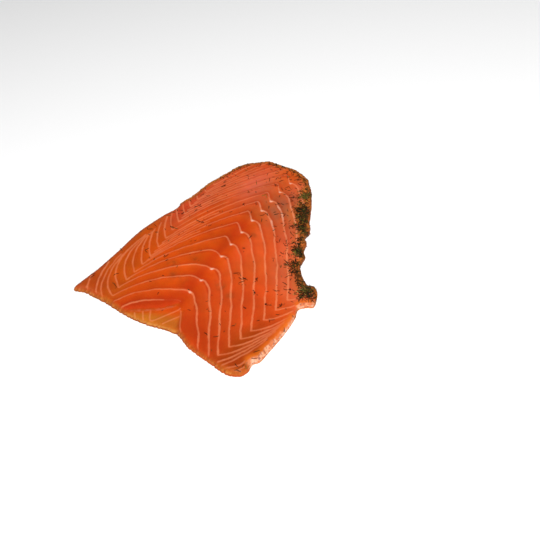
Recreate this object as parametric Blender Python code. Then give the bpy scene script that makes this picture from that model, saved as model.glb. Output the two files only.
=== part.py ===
"""One slice of smoked salmon lying flat, with its chevron of fat lines in relief and a dill crust on its rim.

Lengths are in millimetres until a mesh is made. +X runs along the fillet, +Z is up, the underside is at z = 0.
"""

import math
import random

import bmesh
import bpy
import numpy as np
from mathutils.geometry import delaunay_2d_cdt

MM = 0.001
SHIFT = np.array([0.71, -0.48])  # moves the outline so that the whole part is centred on the origin

# Outline of the flesh seen from above, anticlockwise from the thin left tip
LEFT_AND_FRONT = [
    (-101.2, 59.6), (-97.6, 51.8), (-95.4, 43.8), (-93.2, 34.9), (-91.4, 24.7), (-90.2, 17.4),
    (-87.6, 7.8), (-84.1, -1.2), (-80.2, -9.0), (-77.3, -15.6), (-75.9, -21.7), (-77.4, -32.2),
    (-76.7, -42.4), (-75.3, -53.0), (-74.8, -59.3), (-73.1, -65.4), (-69.0, -70.9), (-63.0, -72.5),
    (-57.6, -70.9), (-52.4, -72.9), (-43.3, -71.9), (-33.8, -70.8), (-22.6, -69.0), (-12.3, -66.3),
    (-6.5, -63.4), (-1.5, -65.6), (3.0, -69.4),
]
RIGHT_SIDE = [
    (9.5, -66.0), (12.6, -60.2), (10.4, -54.6), (13.3, -46.6), (21.0, -38.8), (29.6, -36.0),
    (33.2, -31.6), (40.4, -27.6), (44.0, -23.0), (52.6, -20.8), (59.0, -14.6), (66.9, -8.8),
    (76.8, -1.4), (84.0, 4.8), (89.8, 10.8), (94.8, 19.2), (97.0, 27.2), (97.4, 32.2),
]
TOP_EDGE = [
    (95.8, 39.6), (92.4, 48.4), (91.0, 54.6), (87.8, 58.4), (81.0, 63.4), (74.8, 67.8),
    (65.6, 70.2), (54.6, 71.0), (34.5, 72.0), (17.6, 70.0), (6.9, 70.8), (-2.6, 70.4),
    (-14.6, 71.6), (-36.6, 70.8), (-58.7, 66.0), (-78.5, 62.4), (-90.0, 61.4),
]
OUTLINE_STEP = 2.7

# The slab
THICKNESS = 4.0
EDGE_HEIGHT = 2.9  # where the rounded rim meets the cut side
RIM_WIDTH = 1.5  # how far in the rim's rounding reaches
SIDE_LEAN = 0.8  # how far the cut side leans in from bottom to top
WAVE_HEIGHT = 0.28

# A lower ledge of paler flesh on the left side: its edge against the main slab
LEDGE_EDGE = [(-94.0, 21.5), (-83.0, 13.0), (-76.0, 6.5), (-69.0, 0.5), (-60.5, -3.5),
              (-61.5, -10.0), (-68.0, -15.0), (-80.0, -23.5)]
LEDGE_HEIGHT = 2.1

# The fat lines: each one runs through these rows of turning points, listed by the line's number
UPPER_POINTS = {-7: (-142, -10), -1: (-96.5, 22), 0: (-91.2, 29), 1: (-86.5, 33.2), 2: (-79.6, 36.2),
                4: (-63.7, 39.6), 6: (-46.8, 42.9), 8: (-27.5, 49), 9: (-9.6, 55.6), 11: (8, 63),
                14: (37, 72), 20: (95, 82)}
MIDDLE_POINTS = {-7: (-130, -21), -1: (-57.5, -3), 0: (-48.3, -1.7), 2: (-24.2, 2.8), 4: (1.3, 10),
                 6: (29.9, 16.4), 9: (68.6, 23.3), 11: (96, 26), 20: (215, 50)}
LOWER_POINTS = {-7: (-142, -52), 0: (-85, -52), 2: (-69, -52), 5: (-42, -54), 8: (-7, -54), 20: (140, -54)}

# How the limbs bend, from the turning point that each belongs to
ARC_ENDS = {-2: (20, 43), -1: (26, 38), 0: (31, 31), 1: (42, 28), 2: (44, 26.5), 3: (38, 24), 4: (30, 22),
            6: (20, 20), 9: (13, 16)}
ARC_BENDS = {-2: (-4, 30), 0: (-5.5, 20.5), 2: (6.4, 23.8), 4: (7, 17), 5: (7.5, 14.8), 9: (5, 10)}
SHOULDERS = {-1: (-3, 6), 0: (-3, 8), 1: (0, 8), 2: (-1.9, 10.2), 3: (1.7, 10), 4: (5.2, 8.2), 5: (6.5, 9.5),
             9: (7.4, 8.5)}
ARCHES = {0: (3, -6), 1: (9, -5), 2: (11, -5)}
FIRST_LINE, LAST_LINE = -6, 16
LINE_STEP = 3.0
RIDGE_HALF_WIDTH = 1.25
RIDGE_HEIGHT = 0.5
FILL_SPACING = 5.2

# Dill lying on the flesh: places of the larger sprigs, then how many more are scattered
SPRIG_PLACES = [(-15, -21), (-8, -26), (-18, -34), (-7, -43), (0, -47), (-20, -47), (-13, -54), (-28, -56),
                (-48, -43), (-63, -36), (-59, -43), (33, 10), (36, 1), (31, -6), (28, -13), (21, -24),
                (65, 45), (73, 27), (52, 41), (59, 29), (48, 28), (74, 15), (68, 12), (59, 16),
                (-17, 55), (-41, 36), (-80, 43), (-71, 47), (-62, 14), (44, 61), (13, 57), (4, 37)]
MORE_SPRIGS = 26
SPRIG_LENGTHS = (3.4, 5.2)
SPRIG_RADIUS = 0.62

# The crust: where it is thick along the rim, as (x, y, reach, extra width outside, extra width over the flesh)
CRUST_CLUMPS = [(66, -9, 12, 0.4, 5.0), (50, -20, 8, 0.3, 1.6), (37, -29, 8, 0.4, 2.0), (15, -48, 7, 1.8, 0.2),
                (10, -58, 6, 1.2, 1.6), (93, 50, 7, 0.6, 0.8), (94, 21, 8, 1.3, 0.4), (84, 5, 8, 0.2, 1.8)]
CRUST_START = (4.0, 69.5)
CRUST_END = (7.5, -67.5)
CRUST_GAP = 0.4


def smooth_path(points, step, closed):
    """A Catmull-Rom curve through the points, resampled at even steps."""
    control = np.array(points, float)
    count = len(control)
    spans = count if closed else count - 1
    fine = []
    for i in range(spans):
        before, start, end, after = (
            control[j % count] if closed else control[min(max(j, 0), count - 1)] for j in range(i - 1, i + 3)
        )
        for t in np.linspace(0, 1, 12, endpoint=False):
            fine.append(0.5 * (
                2 * start + (end - before) * t
                + (2 * before - 5 * start + 4 * end - after) * t**2
                + (3 * start - before - 3 * end + after) * t**3
            ))
    fine.append(fine[0] if closed else control[-1])
    return resampled(np.array(fine), step, closed)


def resampled(path, step, closed=False):
    lengths = np.concatenate([[0], np.cumsum(np.linalg.norm(np.diff(path, axis=0), axis=1))])
    count = max(2, round(lengths[-1] / step) + 1)
    at = np.linspace(0, lengths[-1], count)
    even = np.column_stack([np.interp(at, lengths, path[:, axis]) for axis in (0, 1)])
    return even[:-1] if closed else even


def normals_of(path, closed):
    """Unit vectors to the right of the path's direction, smoothed a little."""
    if closed:
        along = np.roll(path, -1, axis=0) - np.roll(path, 1, axis=0)
    else:
        along = np.gradient(path, axis=0)
    right = np.column_stack([along[:, 1], -along[:, 0]])
    return right / np.linalg.norm(right, axis=1, keepdims=True)


def distance_to(points, path, closed=False):
    """The distance from each point to the nearest place on the path."""
    starts = path if closed else path[:-1]
    ends = np.roll(path, -1, axis=0) if closed else path[1:]
    nearest = np.full(len(points), np.inf)
    for start, end in zip(starts, ends):
        span = end - start
        share = np.clip(((points - start) @ span) / max(span @ span, 1e-12), 0, 1)
        nearest = np.minimum(nearest, np.linalg.norm(points - start - share[:, None] * span, axis=1))
    return nearest


def inside(points, loop):
    """Whether each point lies in the closed loop, by counting crossings."""
    found = np.zeros(len(points), bool)
    x, y = points[:, 0], points[:, 1]
    for (x1, y1), (x2, y2) in zip(loop, np.roll(loop, -1, axis=0)):
        crosses = (y1 > y) != (y2 > y)
        if crosses.any():
            at = x1 + (y - y1) / (y2 - y1 if y2 != y1 else 1e-12) * (x2 - x1)
            found ^= crosses & (x < at)
    return found


def bezier(*control):
    """An even fine run of points on the Bezier curve with these control points."""
    degree = len(control) - 1
    t = np.linspace(0, 1, 25)[:, None]
    return sum(
        math.comb(degree, i) * (1 - t) ** (degree - i) * t**i * np.array(point, float)
        for i, point in enumerate(control)
    )


def turning_point(rows, number):
    knots = sorted(rows)
    return np.array([np.interp(number, knots, [rows[k][axis] for k in knots]) for axis in (0, 1)])


def fat_line(number):
    """One whole fat line across the slice: four limbs that turn at the upper, middle and lower points."""
    upper = turning_point(UPPER_POINTS, number)
    middle = turning_point(MIDDLE_POINTS, number)
    lower = turning_point(LOWER_POINTS, number)
    shoulder = middle + turning_point(SHOULDERS, number)
    arriving = (shoulder - upper) / np.linalg.norm(shoulder - upper)
    rounding = np.interp(number, [3, 4.5], [5, 2])
    before = shoulder - arriving * rounding + [0, 0.7]
    first = bezier(upper + turning_point(ARC_ENDS, number), upper + turning_point(ARC_BENDS, number), upper)
    second = bezier(upper, (upper + shoulder) / 2 + [0, 10], before)
    heading = (second[-1] - second[-2]) / np.linalg.norm(second[-1] - second[-2])
    turn = bezier(before, before + heading * rounding * 1.3, middle + [0.6, 2.5], middle)
    if number < 0:
        return np.concatenate([first, second[1:], turn[1:]])
    swell = np.interp(number, [3, 5], [0, 5])
    third = bezier(
        middle, middle + turning_point(ARCHES, number), lower + (middle - lower) * 0.3 + [2 + swell, -swell / 5], lower
    )
    wobble = np.sin(np.linspace(0, 7 * math.pi, 25) + number * 1.7) * np.sin(np.linspace(0, math.pi, 25))
    third += np.outer(wobble, [0.35, -0.35])
    fourth = bezier(lower, lower + [12, -10], lower + [46, -14])
    return np.concatenate([first, second[1:], turn[1:], third[1:], fourth[1:]])


def runs_where(path, keep):
    """The stretches of the path whose points are all kept."""
    runs, run = [], []
    for point, kept in zip(path, keep):
        if kept:
            run.append(point)
        elif run:
            runs.append(np.array(run))
            run = []
    if run:
        runs.append(np.array(run))
    return runs


def thinned(candidates, taken, spacing):
    """The candidates that keep the spacing from the taken points and from each other."""
    cells = {}

    def cell_of(point):
        return int(point[0] // spacing), int(point[1] // spacing)

    def near(point):
        column, row = cell_of(point)
        for i in (-1, 0, 1):
            for j in (-1, 0, 1):
                for other in cells.get((column + i, row + j), ()):
                    if math.hypot(point[0] - other[0], point[1] - other[1]) < spacing:
                        return True
        return False

    for point in taken:
        cells.setdefault(cell_of(point), []).append(point)
    kept = []
    for point in candidates:
        if not near(point):
            cells.setdefault(cell_of(point), []).append(point)
            kept.append(point)
    return kept


def slab_height(points, rim, ledge):
    """Height of the slab's smooth top, without the fat lines."""
    x, y = points[:, 0], points[:, 1]
    wave = np.sin(x / 21 + 0.6) * np.cos(y / 17) + 0.6 * np.sin((x + y) / 13 + 2.0)
    height = THICKNESS + WAVE_HEIGHT * wave * 0.6
    height = np.where(inside(points, ledge), LEDGE_HEIGHT, height)
    edge = np.clip(distance_to(points, rim, True) / RIM_WIDTH, 0, 1)
    rounded = np.sqrt(1 - (1 - edge) ** 2)
    return height * (EDGE_HEIGHT / THICKNESS + (1 - EDGE_HEIGHT / THICKNESS) * rounded)


def triangulated(points, edges):
    """The corners and triangles of a constrained triangulation, leaving out what lies outside the edges."""
    corners, _, faces, _, _, _ = delaunay_2d_cdt([tuple(p) for p in points], edges, [], 1, 1e-5)
    return np.array([tuple(c) for c in corners]), faces


def new_object(name, verts, faces, material):
    mesh = bpy.data.meshes.new(name)
    mesh.from_pydata([tuple(c * MM for c in vert) for vert in verts], [], faces)
    mesh.materials.append(material)
    made = bpy.data.objects.new(name, mesh)
    bpy.context.scene.collection.objects.link(made)
    return made


def face_out(made):
    work = bmesh.new()
    work.from_mesh(made.data)
    bmesh.ops.recalc_face_normals(work, faces=work.faces)
    work.to_mesh(made.data)
    work.free()


def sprig(start, heading, length, radius, bend, rise=0.0):
    """A short tapered needle that curves sideways and may rise, as (verts, faces)."""
    sides, rings = 5, 3
    verts, faces = [], []
    stations = np.linspace(0.18, 0.82, rings)
    profile = [0.85, 1.0, 0.75]

    def centre(share):
        turn = heading + bend * (share - 0.5)
        reach = length * (share - 0.5)
        return np.array([
            start[0] + math.cos(turn) * reach,
            start[1] + math.sin(turn) * reach,
            start[2] + rise * share,
        ])

    verts.append(centre(0.0))
    for share, fat in zip(stations, profile):
        across = heading + bend * (share - 0.5) + math.pi / 2
        for side in range(sides):
            angle = 2 * math.pi * side / sides
            flat = radius * fat * math.cos(angle)
            verts.append(centre(share) + [
                math.cos(across) * flat, math.sin(across) * flat, radius * fat * 0.8 * math.sin(angle),
            ])
    verts.append(centre(1.0))
    for side in range(sides):
        other = (side + 1) % sides
        faces.append((0, 1 + other, 1 + side))
        for ring in range(rings - 1):
            low = 1 + ring * sides
            faces.append((low + side, low + other, low + sides + other, low + sides + side))
        last = 1 + (rings - 1) * sides
        faces.append((last + side, last + other, len(verts) - 1))
    return verts, faces


def fuse(base, pieces, material):
    """Joins the pieces, as (verts, faces), to the base with one Boolean union and removes them."""
    group = bpy.data.collections.new("pieces")
    for verts, faces in pieces:
        piece = new_object("piece", verts, faces, material)
        face_out(piece)
        bpy.context.scene.collection.objects.unlink(piece)
        group.objects.link(piece)
    union = base.modifiers.new("union", "BOOLEAN")
    union.operation = "UNION"
    union.operand_type = "COLLECTION"
    union.collection = group
    union.solver = "MANIFOLD"
    bpy.context.view_layer.update()
    graph = bpy.context.evaluated_depsgraph_get()
    joined = bpy.data.meshes.new_from_object(base.evaluated_get(graph))
    base.modifiers.remove(union)
    base.data = joined
    for piece in list(group.objects):
        bpy.data.objects.remove(piece)
    bpy.data.collections.remove(group)


def build_flesh(outline, rim, ledge, material):
    """The slab: triangulated top that follows the fat lines, a leaning cut side and a flat underside."""
    lines = []
    for number in range(FIRST_LINE, LAST_LINE + 1):
        path = resampled(fat_line(number) + SHIFT, 0.5)
        keep = inside(path, rim) & (distance_to(path, rim, True) > 2.4)
        keep &= ~inside(path, ledge) & (distance_to(path, ledge, True) > 1.6)
        for run in runs_where(path, keep):
            if len(run) > 12:
                lines.append(resampled(run, LINE_STEP))

    points, edges = [], []

    def add(path, closed=False):
        first = len(points)
        points.extend(path)
        edges.extend((first + i, first + i + 1) for i in range(len(path) - 1))
        if closed:
            edges.append((len(points) - 1, first))

    add(rim, closed=True)
    for line in lines:
        add(line)
    step_run = resampled(np.array(LEDGE_EDGE) + SHIFT, 2.6)
    step_run = step_run[inside(step_run, rim) & (distance_to(step_run, rim, True) > 0.7)]
    step_out = normals_of(step_run, False)
    add(step_run + step_out * -0.28)
    add(step_run + step_out * 0.28)

    fixed = list(points)
    free = list(rim - normals_of(rim, True) * RIM_WIDTH)
    for line in lines:
        beside = normals_of(line, False) * RIDGE_HALF_WIDTH
        for row in (line + beside, line - beside):
            clear = np.min([distance_to(row, other) for other in lines], axis=0)
            free += list(row[clear > RIDGE_HALF_WIDTH * 0.85])
    columns = np.arange(-105, 105, FILL_SPACING)
    rows = np.arange(-80, 80, FILL_SPACING * 0.87)
    grid = np.array([(x + FILL_SPACING / 2 * (j % 2), y) for j, y in enumerate(rows) for x in columns])
    grid = grid[inside(grid, rim)]
    clear = np.min([distance_to(grid, other) for other in lines], axis=0)
    grid = grid[(clear > 2.6) & (distance_to(grid, rim, True) > 3.4)]
    free = np.array(thinned(free, fixed, 0.95))
    free = free[inside(free, rim) & (distance_to(free, rim, True) > 0.8)]
    free = free[distance_to(free, step_run) > 0.9]
    free = list(free) + thinned(grid, fixed + list(free), 2.4)

    top, faces = triangulated(points + free, edges)
    near_line = np.min([distance_to(top, line) for line in lines], axis=0)
    ridge = RIDGE_HEIGHT * np.clip(1 - near_line / RIDGE_HALF_WIDTH, 0, 1)
    fade = np.clip((distance_to(top, rim, True) - 1.5) / 3.5, 0, 1)
    on_ledge = inside(top, ledge)
    height = slab_height(top, rim, ledge) + np.where(on_ledge, 0, ridge * fade)

    count = len(outline)
    verts = [(x, y, z) for (x, y), z in zip(top, height)]
    bottom_start = len(verts)
    verts += [(x, y, 0.0) for x, y in outline]
    rim_index = [int(np.argmin(np.linalg.norm(top - point, axis=1))) for point in rim]
    for i in range(count):
        j = (i + 1) % count
        faces.append((rim_index[i], bottom_start + i, bottom_start + j, rim_index[j]))
    loop = [(i, (i + 1) % count) for i in range(count)]
    under, under_faces = triangulated(list(outline), loop)
    under_index = [bottom_start + int(np.argmin(np.linalg.norm(outline - point, axis=1))) for point in under]
    faces += [tuple(under_index[corner] for corner in face) for face in under_faces]
    flesh = new_object("salmon_slice", verts, faces, material)
    face_out(flesh)
    return flesh, lines


def crust_extras(path):
    """How much wider the crust is at each point of its path, outside the flesh and over it."""
    outer, inner = np.zeros(len(path)), np.zeros(len(path))
    for x, y, reach, more_outside, more_inside in CRUST_CLUMPS:
        swell = np.exp(-((np.linalg.norm(path - (np.array([x, y]) + SHIFT), axis=1) / reach) ** 2))
        outer += more_outside * swell
        inner += more_inside * swell
    return outer, inner


def scatter_sprigs(random_source, path, rim, ledge, lines):
    """The dill that lies on the flesh, half sunk in it, thicker towards the crust, whose path this is."""
    _, inner = crust_extras(path)
    places = [np.array(place, float) + SHIFT for place in SPRIG_PLACES]
    crust_side = np.array(RIGHT_SIDE + TOP_EDGE[:6], float) + SHIFT
    while len(places) < len(SPRIG_PLACES) + MORE_SPRIGS:
        place = np.array([random_source.uniform(-90, 92), random_source.uniform(-66, 66)])
        reach = distance_to(place[None], crust_side)[0]
        if random_source.random() < math.exp(-reach / 30):
            places.append(place)
    pieces, laid = [], []
    for place in places:
        spot = place[None]
        clear = inside(spot, rim)[0] and distance_to(spot, rim, True)[0] > 5 and not inside(spot, ledge)[0]
        clear = clear and (np.linalg.norm(path - place, axis=1) > 6.2 + 1.25 * inner).all()
        apart = all(np.linalg.norm(place - other) > 5.5 for other in laid)
        length = random_source.uniform(*SPRIG_LENGTHS)
        heading = random_source.uniform(0, math.pi)
        bend = random_source.uniform(-0.9, 0.9)
        if not (clear and apart):
            continue
        laid.append(place)
        ridge = RIDGE_HEIGHT * max(0, 1 - min(distance_to(spot, line)[0] for line in lines) / RIDGE_HALF_WIDTH)
        height = slab_height(spot, rim, ledge)[0] + 0.5 * ridge + 0.18
        pieces.append(sprig((place[0], place[1], height), heading, length, SPRIG_RADIUS, bend))
    return pieces


def crust_path(outline):
    """The stretch of outline that carries the crust, from the top edge round the right side."""
    backward = outline[::-1]
    start = int(np.argmin(np.linalg.norm(backward - (np.array(CRUST_START) + SHIFT), axis=1)))
    backward = np.roll(backward, -start, axis=0)
    end = int(np.argmin(np.linalg.norm(backward - (np.array(CRUST_END) + SHIFT), axis=1)))
    return backward[: end + 1]


def build_crust(random_source, path, rim, ledge, material):
    """A crumbly band of dill pressed on the rim: an upside-down L in section that laps over the flesh."""
    out = -normals_of(path, False)
    for _ in range(3):
        out[1:-1] = 0.5 * out[1:-1] + 0.25 * (out[:-2] + out[2:])
    out /= np.linalg.norm(out, axis=1, keepdims=True)
    outer, inner = crust_extras(path)
    taper = np.clip(np.minimum(np.arange(len(path)), np.arange(len(path))[::-1]) / 3, 0.35, 1)
    thin_part = np.clip((path[:, 0] - 2) / 90, 0, 1) * (path[:, 1] > 40) + (path[:, 1] <= 40)
    verts, faces = [], []
    sections, bases = [], []
    for i, (point, outward) in enumerate(zip(path, out)):
        width = (0.8 + 0.6 * thin_part[i] + outer[i]) * taper[i] * random_source.uniform(0.75, 1.3)
        lap = (0.8 + 0.8 * thin_part[i] + inner[i]) * taper[i] * random_source.uniform(0.75, 1.25)
        rise = (0.6 + 0.3 * thin_part[i] + 0.2 * (outer[i] + inner[i])) * random_source.uniform(0.75, 1.3)
        under = np.array([point - outward * reach for reach in np.linspace(SIDE_LEAN + 1.4, lap + SIDE_LEAN + 0.5, 6)])
        base = slab_height(under, rim, ledge).max() + CRUST_GAP + 0.14
        section = [
            (CRUST_GAP, 0.0),
            (CRUST_GAP + width, 0.0),
            (CRUST_GAP + width * 1.12, base * random_source.uniform(0.35, 0.6)),
            (CRUST_GAP + width * random_source.uniform(0.6, 0.9), base + rise * 0.55),
            (-lap * 0.35, base + rise),
            (-lap - SIDE_LEAN, base + rise * 0.4),
            (-lap - SIDE_LEAN, base),
            (CRUST_GAP, base - 0.25),
        ]
        bases.append(base)
        sections.append([(point[0] + outward[0] * u, point[1] + outward[1] * u, z) for u, z in section])
    size = len(sections[0])
    for section in sections:
        verts.extend(section)
    for i in range(len(sections) - 1):
        for side in range(size):
            other = (side + 1) % size
            a, b = i * size, (i + 1) * size
            faces.append((a + side, a + other, b + other, b + side))
    faces.append(tuple(range(size)))
    faces.append(tuple(range(len(verts) - size, len(verts)))[::-1])
    crust = new_object("dill_crust", verts, faces, material)
    face_out(crust)

    pieces = []
    for i in range(1, len(path) - 1):
        section = np.array(sections[i])
        for _ in range(round(0.45 + 0.28 * (outer[i] + inner[i]) + random_source.uniform(-0.5, 0.5))):
            share = random_source.uniform(0.05, 1)
            across = share if inner[i] > 1 else 0.5 + 0.4 * share
            low, high = (section[5], section[4]) if across < 0.5 else (section[4], section[3])
            spot = low + (high - low) * (across * 2 % 1)
            spot[2] = max(spot[2] - 0.2, bases[i] + 0.4)
            heading = math.atan2(*out[i][::-1]) + random_source.uniform(-1.5, 1.5)
            length = random_source.uniform(2.4, 3.8) * (0.85 + 0.08 * inner[i])
            rise = random_source.uniform(0.0, 0.4)
            pieces.append(sprig(spot, heading, length, 0.5, random_source.uniform(-1, 1), rise))
    return crust, pieces


def plain_material(name, colour, roughness):
    made = bpy.data.materials.new(name)
    made.use_nodes = True
    shader = made.node_tree.nodes["Principled BSDF"]
    shader.inputs["Base Color"].default_value = (*colour, 1)
    shader.inputs["Roughness"].default_value = roughness
    return made


def main():
    for old in list(bpy.data.objects):
        bpy.data.objects.remove(old)
    flesh_material = plain_material("flesh", (0.82, 0.16, 0.035), 0.35)
    dill_material = plain_material("dill", (0.045, 0.065, 0.012), 0.8)

    outline = smooth_path(LEFT_AND_FRONT + RIGHT_SIDE + TOP_EDGE, OUTLINE_STEP, True) + SHIFT
    rim = outline - normals_of(outline, True) * SIDE_LEAN
    ledge_far_side = [(-100, -30), (-110, 10)]
    ledge = np.array(LEDGE_EDGE + ledge_far_side) + SHIFT
    flesh, lines = build_flesh(outline, rim, ledge, flesh_material)
    path = crust_path(outline)
    fuse(flesh, scatter_sprigs(random.Random(7), path, rim, ledge, lines), flesh_material)
    crust, pieces = build_crust(random.Random(7), path, rim, ledge, dill_material)
    fuse(crust, pieces, dill_material)


main()
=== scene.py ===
"""Looks of the smoked salmon slice: flesh with its fat lines, a dill crust, loose dill, light and camera.

Lengths are in millimetres until a mesh is made. +X runs along the fillet and +Z is up.
"""

import math
import random
from types import SimpleNamespace

import bpy
import numpy as np
from mathutils import Matrix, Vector
from mathutils.geometry import delaunay_2d_cdt
from mathutils.kdtree import KDTree

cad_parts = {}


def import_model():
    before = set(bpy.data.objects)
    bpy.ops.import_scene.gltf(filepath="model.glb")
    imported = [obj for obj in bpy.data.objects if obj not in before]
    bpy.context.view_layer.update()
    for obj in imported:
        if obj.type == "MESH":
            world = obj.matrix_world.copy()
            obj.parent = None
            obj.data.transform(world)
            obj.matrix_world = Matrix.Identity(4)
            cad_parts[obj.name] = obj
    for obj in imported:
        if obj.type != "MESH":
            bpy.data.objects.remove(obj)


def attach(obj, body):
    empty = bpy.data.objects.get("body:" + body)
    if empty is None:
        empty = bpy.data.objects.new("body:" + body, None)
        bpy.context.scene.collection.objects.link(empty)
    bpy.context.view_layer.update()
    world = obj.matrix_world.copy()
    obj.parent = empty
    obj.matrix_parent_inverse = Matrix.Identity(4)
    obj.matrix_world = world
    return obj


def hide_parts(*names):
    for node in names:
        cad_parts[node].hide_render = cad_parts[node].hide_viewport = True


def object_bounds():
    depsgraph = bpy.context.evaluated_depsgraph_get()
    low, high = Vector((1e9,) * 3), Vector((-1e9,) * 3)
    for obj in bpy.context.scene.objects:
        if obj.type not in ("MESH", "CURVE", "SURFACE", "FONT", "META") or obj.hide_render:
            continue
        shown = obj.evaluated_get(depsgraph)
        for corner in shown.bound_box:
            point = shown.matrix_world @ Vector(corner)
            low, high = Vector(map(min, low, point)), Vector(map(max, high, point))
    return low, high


MM = 0.001
SHIFT = np.array([0.71, -0.48])  # from the outline's own numbers to the part's frame

# Outline of the flesh seen from above, anticlockwise from the thin left tip
LEFT_AND_FRONT = [
    (-101.2, 59.6), (-97.6, 51.8), (-95.4, 43.8), (-93.2, 34.9), (-91.4, 24.7), (-90.2, 17.4), (-87.6, 7.8),
    (-84.1, -1.2), (-80.2, -9), (-77.3, -15.6), (-75.9, -21.7), (-77.4, -32.2), (-76.7, -42.4), (-75.3, -53),
    (-74.8, -59.3), (-73.1, -65.4), (-69, -70.9), (-63, -72.5), (-57.6, -70.9), (-52.4, -72.9),
    (-43.3, -71.9), (-33.8, -70.8), (-22.6, -69), (-12.3, -66.3), (-6.5, -63.4), (-1.5, -65.6), (3, -69.4),
]
RIGHT_SIDE = [
    (9.5, -66), (12.6, -60.2), (10.4, -54.6), (13.3, -46.6), (21, -38.8), (29.6, -36), (33.2, -31.6),
    (40.4, -27.6), (44, -23), (52.6, -20.8), (59, -14.6), (66.9, -8.8), (76.8, -1.4), (84, 4.8),
    (89.8, 10.8), (94.8, 19.2), (97, 27.2), (97.4, 32.2),
]
TOP_EDGE = [
    (95.8, 39.6), (92.4, 48.4), (91, 54.6), (87.8, 58.4), (81, 63.4), (74.8, 67.8), (65.6, 70.2), (54.6, 71),
    (34.5, 72), (17.6, 70), (6.9, 70.8), (-2.6, 70.4), (-14.6, 71.6), (-36.6, 70.8), (-58.7, 66),
    (-78.5, 62.4), (-90, 61.4),
]
OUTLINE_STEP = 0.4

# The slab, as in the solid
THICKNESS = 4.0
EDGE_HEIGHT = 2.9
RIM_WIDTH = 1.5
SIDE_LEAN = 0.8
WAVE_HEIGHT = 0.28
LEDGE_EDGE = [(-94.0, 21.5), (-83.0, 13.0), (-76.0, 6.5), (-69.0, 0.5), (-60.5, -3.5)]
LEDGE_SOFT_SIDE = [(-61.5, -10.0), (-68.0, -15.0), (-80.0, -23.5)]
LEDGE_FAR_SIDE = [(-100, -30), (-110, 10)]
LEDGE_HEIGHT = 2.1
SIDE_ROWS = 7  # rows of faces down the cut side

# The fat lines: rows of turning points, listed by the line's number
UPPER_POINTS = {-7: (-142, -10), -1: (-96.5, 22), 0: (-91.2, 29), 1: (-86.5, 33.2), 2: (-79.6, 36.2),
                4: (-63.7, 39.6), 6: (-46.8, 42.9), 8: (-27.5, 49), 9: (-9.6, 55.8), 11: (8, 62.3),
                12: (17.1, 64.2), 13: (27.7, 66.4), 14: (38, 67.8), 20: (95, 80)}
MIDDLE_POINTS = {-7: (-130, -21), -1: (-57.5, -3), 0: (-48.3, -1.7), 2: (-24.2, 2.8), 4: (1.3, 10),
                 6: (29.9, 16.4), 9: (68.6, 23.3), 11: (96, 26), 20: (215, 50)}
LOWER_POINTS = {-7: (-142, -52), 0: (-85, -52), 2: (-69, -52), 5: (-42, -54), 8: (-7, -54), 20: (140, -54)}

# How the limbs bend, from the turning point that each belongs to
ARC_ENDS = {-2: (20, 43), -1: (26, 38), 0: (31, 31), 1: (42, 28), 2: (44, 26.5), 3: (38, 24), 4: (30, 22),
            6: (20, 20), 9: (13, 16)}
ARC_BENDS = {-2: (-4, 30), 0: (-5.5, 20.5), 2: (6.4, 23.8), 4: (7, 17), 5: (7.5, 14.8), 9: (5, 10)}
SHOULDERS = {-1: (-3, 6), 0: (-3, 8), 1: (0, 8), 2: (-1.9, 10.2), 3: (1.7, 10), 4: (5.2, 8.2), 5: (6.5, 9.5),
             9: (7.4, 8.5)}
ARCHES = {0: (3, -6), 1: (9, -5), 2: (11, -5)}
FIRST_LINE, LAST_LINE = -6, 16
FAINT_LINES = (5.5, 6.5, 7.5, 8.5, 9.5, 10.5, 11.5, 12.5)  # thin lines between, in the upper part alone
SHORT_LINES = [
    [(-88.0, 14.8), (-90.2, 10.5)],
    [(-84.5, 12.6), (-87.2, 8.6)],
    [(-80.2, 9.4), (-84.3, 3.8)],
    [(-76.4, 6.0), (-80.9, -0.2), (-71.1, -4.0), (-61.5, -6.9)],
    [(-77.0, -7.6), (-72.6, -8.8), (-66.0, -11.0)],
    [(-62.6, -8.8), (-66.6, -13.4), (-70.7, -17.6), (-73.6, -21.6)],
    [(-73.2, -60.6), (-68.2, -64.4), (-63.5, -66.8), (-59.2, -67.0)],
    [(-72.2, -65.6), (-67.9, -68.2), (-63.4, -69.6)],
]
LIMB_STRENGTHS = (0.72, 0.6, 0.8, 1.0, 0.72)  # of the arc, the upper band, the turn, the body and the front
LINE_STEP = 0.6
FINE_STEP = 0.3  # while a line is being shaped
FAINT_SHARE = 0.72  # strength of a faint line, against a full one
RIM_GAP = 1.1  # from the end of a line to the rim
SHORT_GAP = 0.6  # the same for a short line
LEDGE_GAP = 0.5
RIDGE_HEIGHT = 0.22
STEP_DEPTH = 1.0  # the flesh sinks by this much towards the ledge
ROWS_BESIDE = (0.3, 0.72)  # rows of points on both sides of a line keep its edges sharp
FILL_SPACING = 0.72
TEETH_DEPTH = 0.6  # of the torn edge

# Rows that the zones of colour follow, as (x, y), and the width of the pale cut strip, as (x, width)
UPPER_ROW = [(-142, 10), (-92, 30), (-64, 40), (-10, 56), (37, 68), (95, 82)]
SEAM_ROW = [(-130, -21), (-48, -2), (1, 10), (55, 20), (96, 26)]
STRIP_WIDTHS = [(-60, 2.7), (-42, 2.1), (-26, 1.3), (-12, 0.1), (-6, 1.3)]
LOBE = [(-90, 21), (-80, 14.5), (-72, 8), (-64, 2.5)]  # the dark fold above the ledge

# Soft ovals, as (middle, reach): where the lines fade, stand out, blur into blotches and shade their bands
FADED_LINES = ((64, 42), (26, 14))
CLEAR_LINES = ((12, 54), (34, 14))
BLOTCHED_LINES = ((50, 8), (20, 15))
SHADED_BANDS = ((5, 48), (34, 14))
LOWER_RED_OVAL = ((-66, -36), (14, 24))
TOP_SHADE_OVAL = ((8, 62), (34, 8))
# Painted highlight: where a soft pink sheen of reflected light lies, on the upper right
PAINTED_PINK_SHEEN_OVAL = ((62, 44), (30, 18))
# Painted highlight: where a duller haze of reflected light lies, beside the pink sheen
PAINTED_SHEEN_VEIL_OVAL = ((57, 10), (21, 17))

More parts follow.
